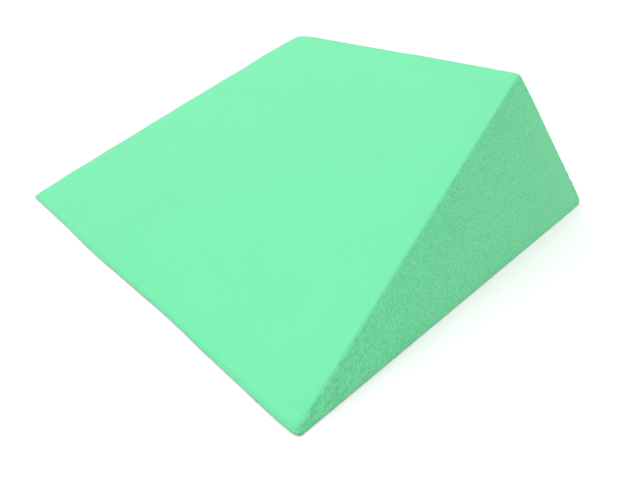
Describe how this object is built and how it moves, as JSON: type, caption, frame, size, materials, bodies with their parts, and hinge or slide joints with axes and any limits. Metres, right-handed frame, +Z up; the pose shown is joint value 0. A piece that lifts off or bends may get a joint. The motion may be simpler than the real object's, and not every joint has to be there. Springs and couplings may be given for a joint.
{
  "type": "incline wedge mat",
  "caption": "Free-standing foam incline wedge mat in a fitted mint cloth cover, its walls leaning inward and a zip across the back.",
  "frame": {"origin": "middle of the base, on the floor", "axes": "+Z up, +Y towards the tall back end, +X along the long side of the base, to the right seen from the thin front edge"},
  "size_m": [0.955, 0.9, 0.296],
  "materials": {
    "cover_cloth": "matt",
    "base_cloth": "matt",
    "soft_foam": "matt",
    "firm_foam": "matt",
    "zip_tape": "matt",
    "zip_coil": "satin",
    "zip_metal": "nickel plated"
  },
  "bodies": {
    "mat": {"incline_panel": "cover_cloth", "base_panel": "base_cloth", "left_side_panel": "cover_cloth", "right_side_panel": "cover_cloth", "back_panel_upper": "cover_cloth", "back_panel_lower": "cover_cloth", "zip_end_tab_left": "cover_cloth", "zip_end_tab_right": "cover_cloth", "soft_foam_topper": "soft_foam", "firm_foam_base": "firm_foam", "firm_foam_middle": "firm_foam", "firm_foam_upper": "firm_foam", "zip_tape_upper": "zip_tape", "zip_tape_lower": "zip_tape", "zip_coil_upper": "zip_coil", "zip_coil_lower": "zip_coil", "zip_top_stop_upper": "zip_metal", "zip_top_stop_lower": "zip_metal", "zip_bottom_stop": "zip_metal"},
    "slider": {"zip_slider": "zip_metal"},
    "pull": {"zip_pull": "zip_metal"}
  },
  "joints": [
    {"name": "zip_run", "type": "slide", "parent": "mat", "child": "slider", "axis": [-1, 0, 0], "range_m": [0, 0.79]},
    {"name": "pull_swing", "type": "hinge", "parent": "slider", "child": "pull", "pos_m": [0.39531, 0.42309, 0.06476], "axis": [0, -0.4384, 0.8988], "range_deg": [0, 180]}
  ]
}
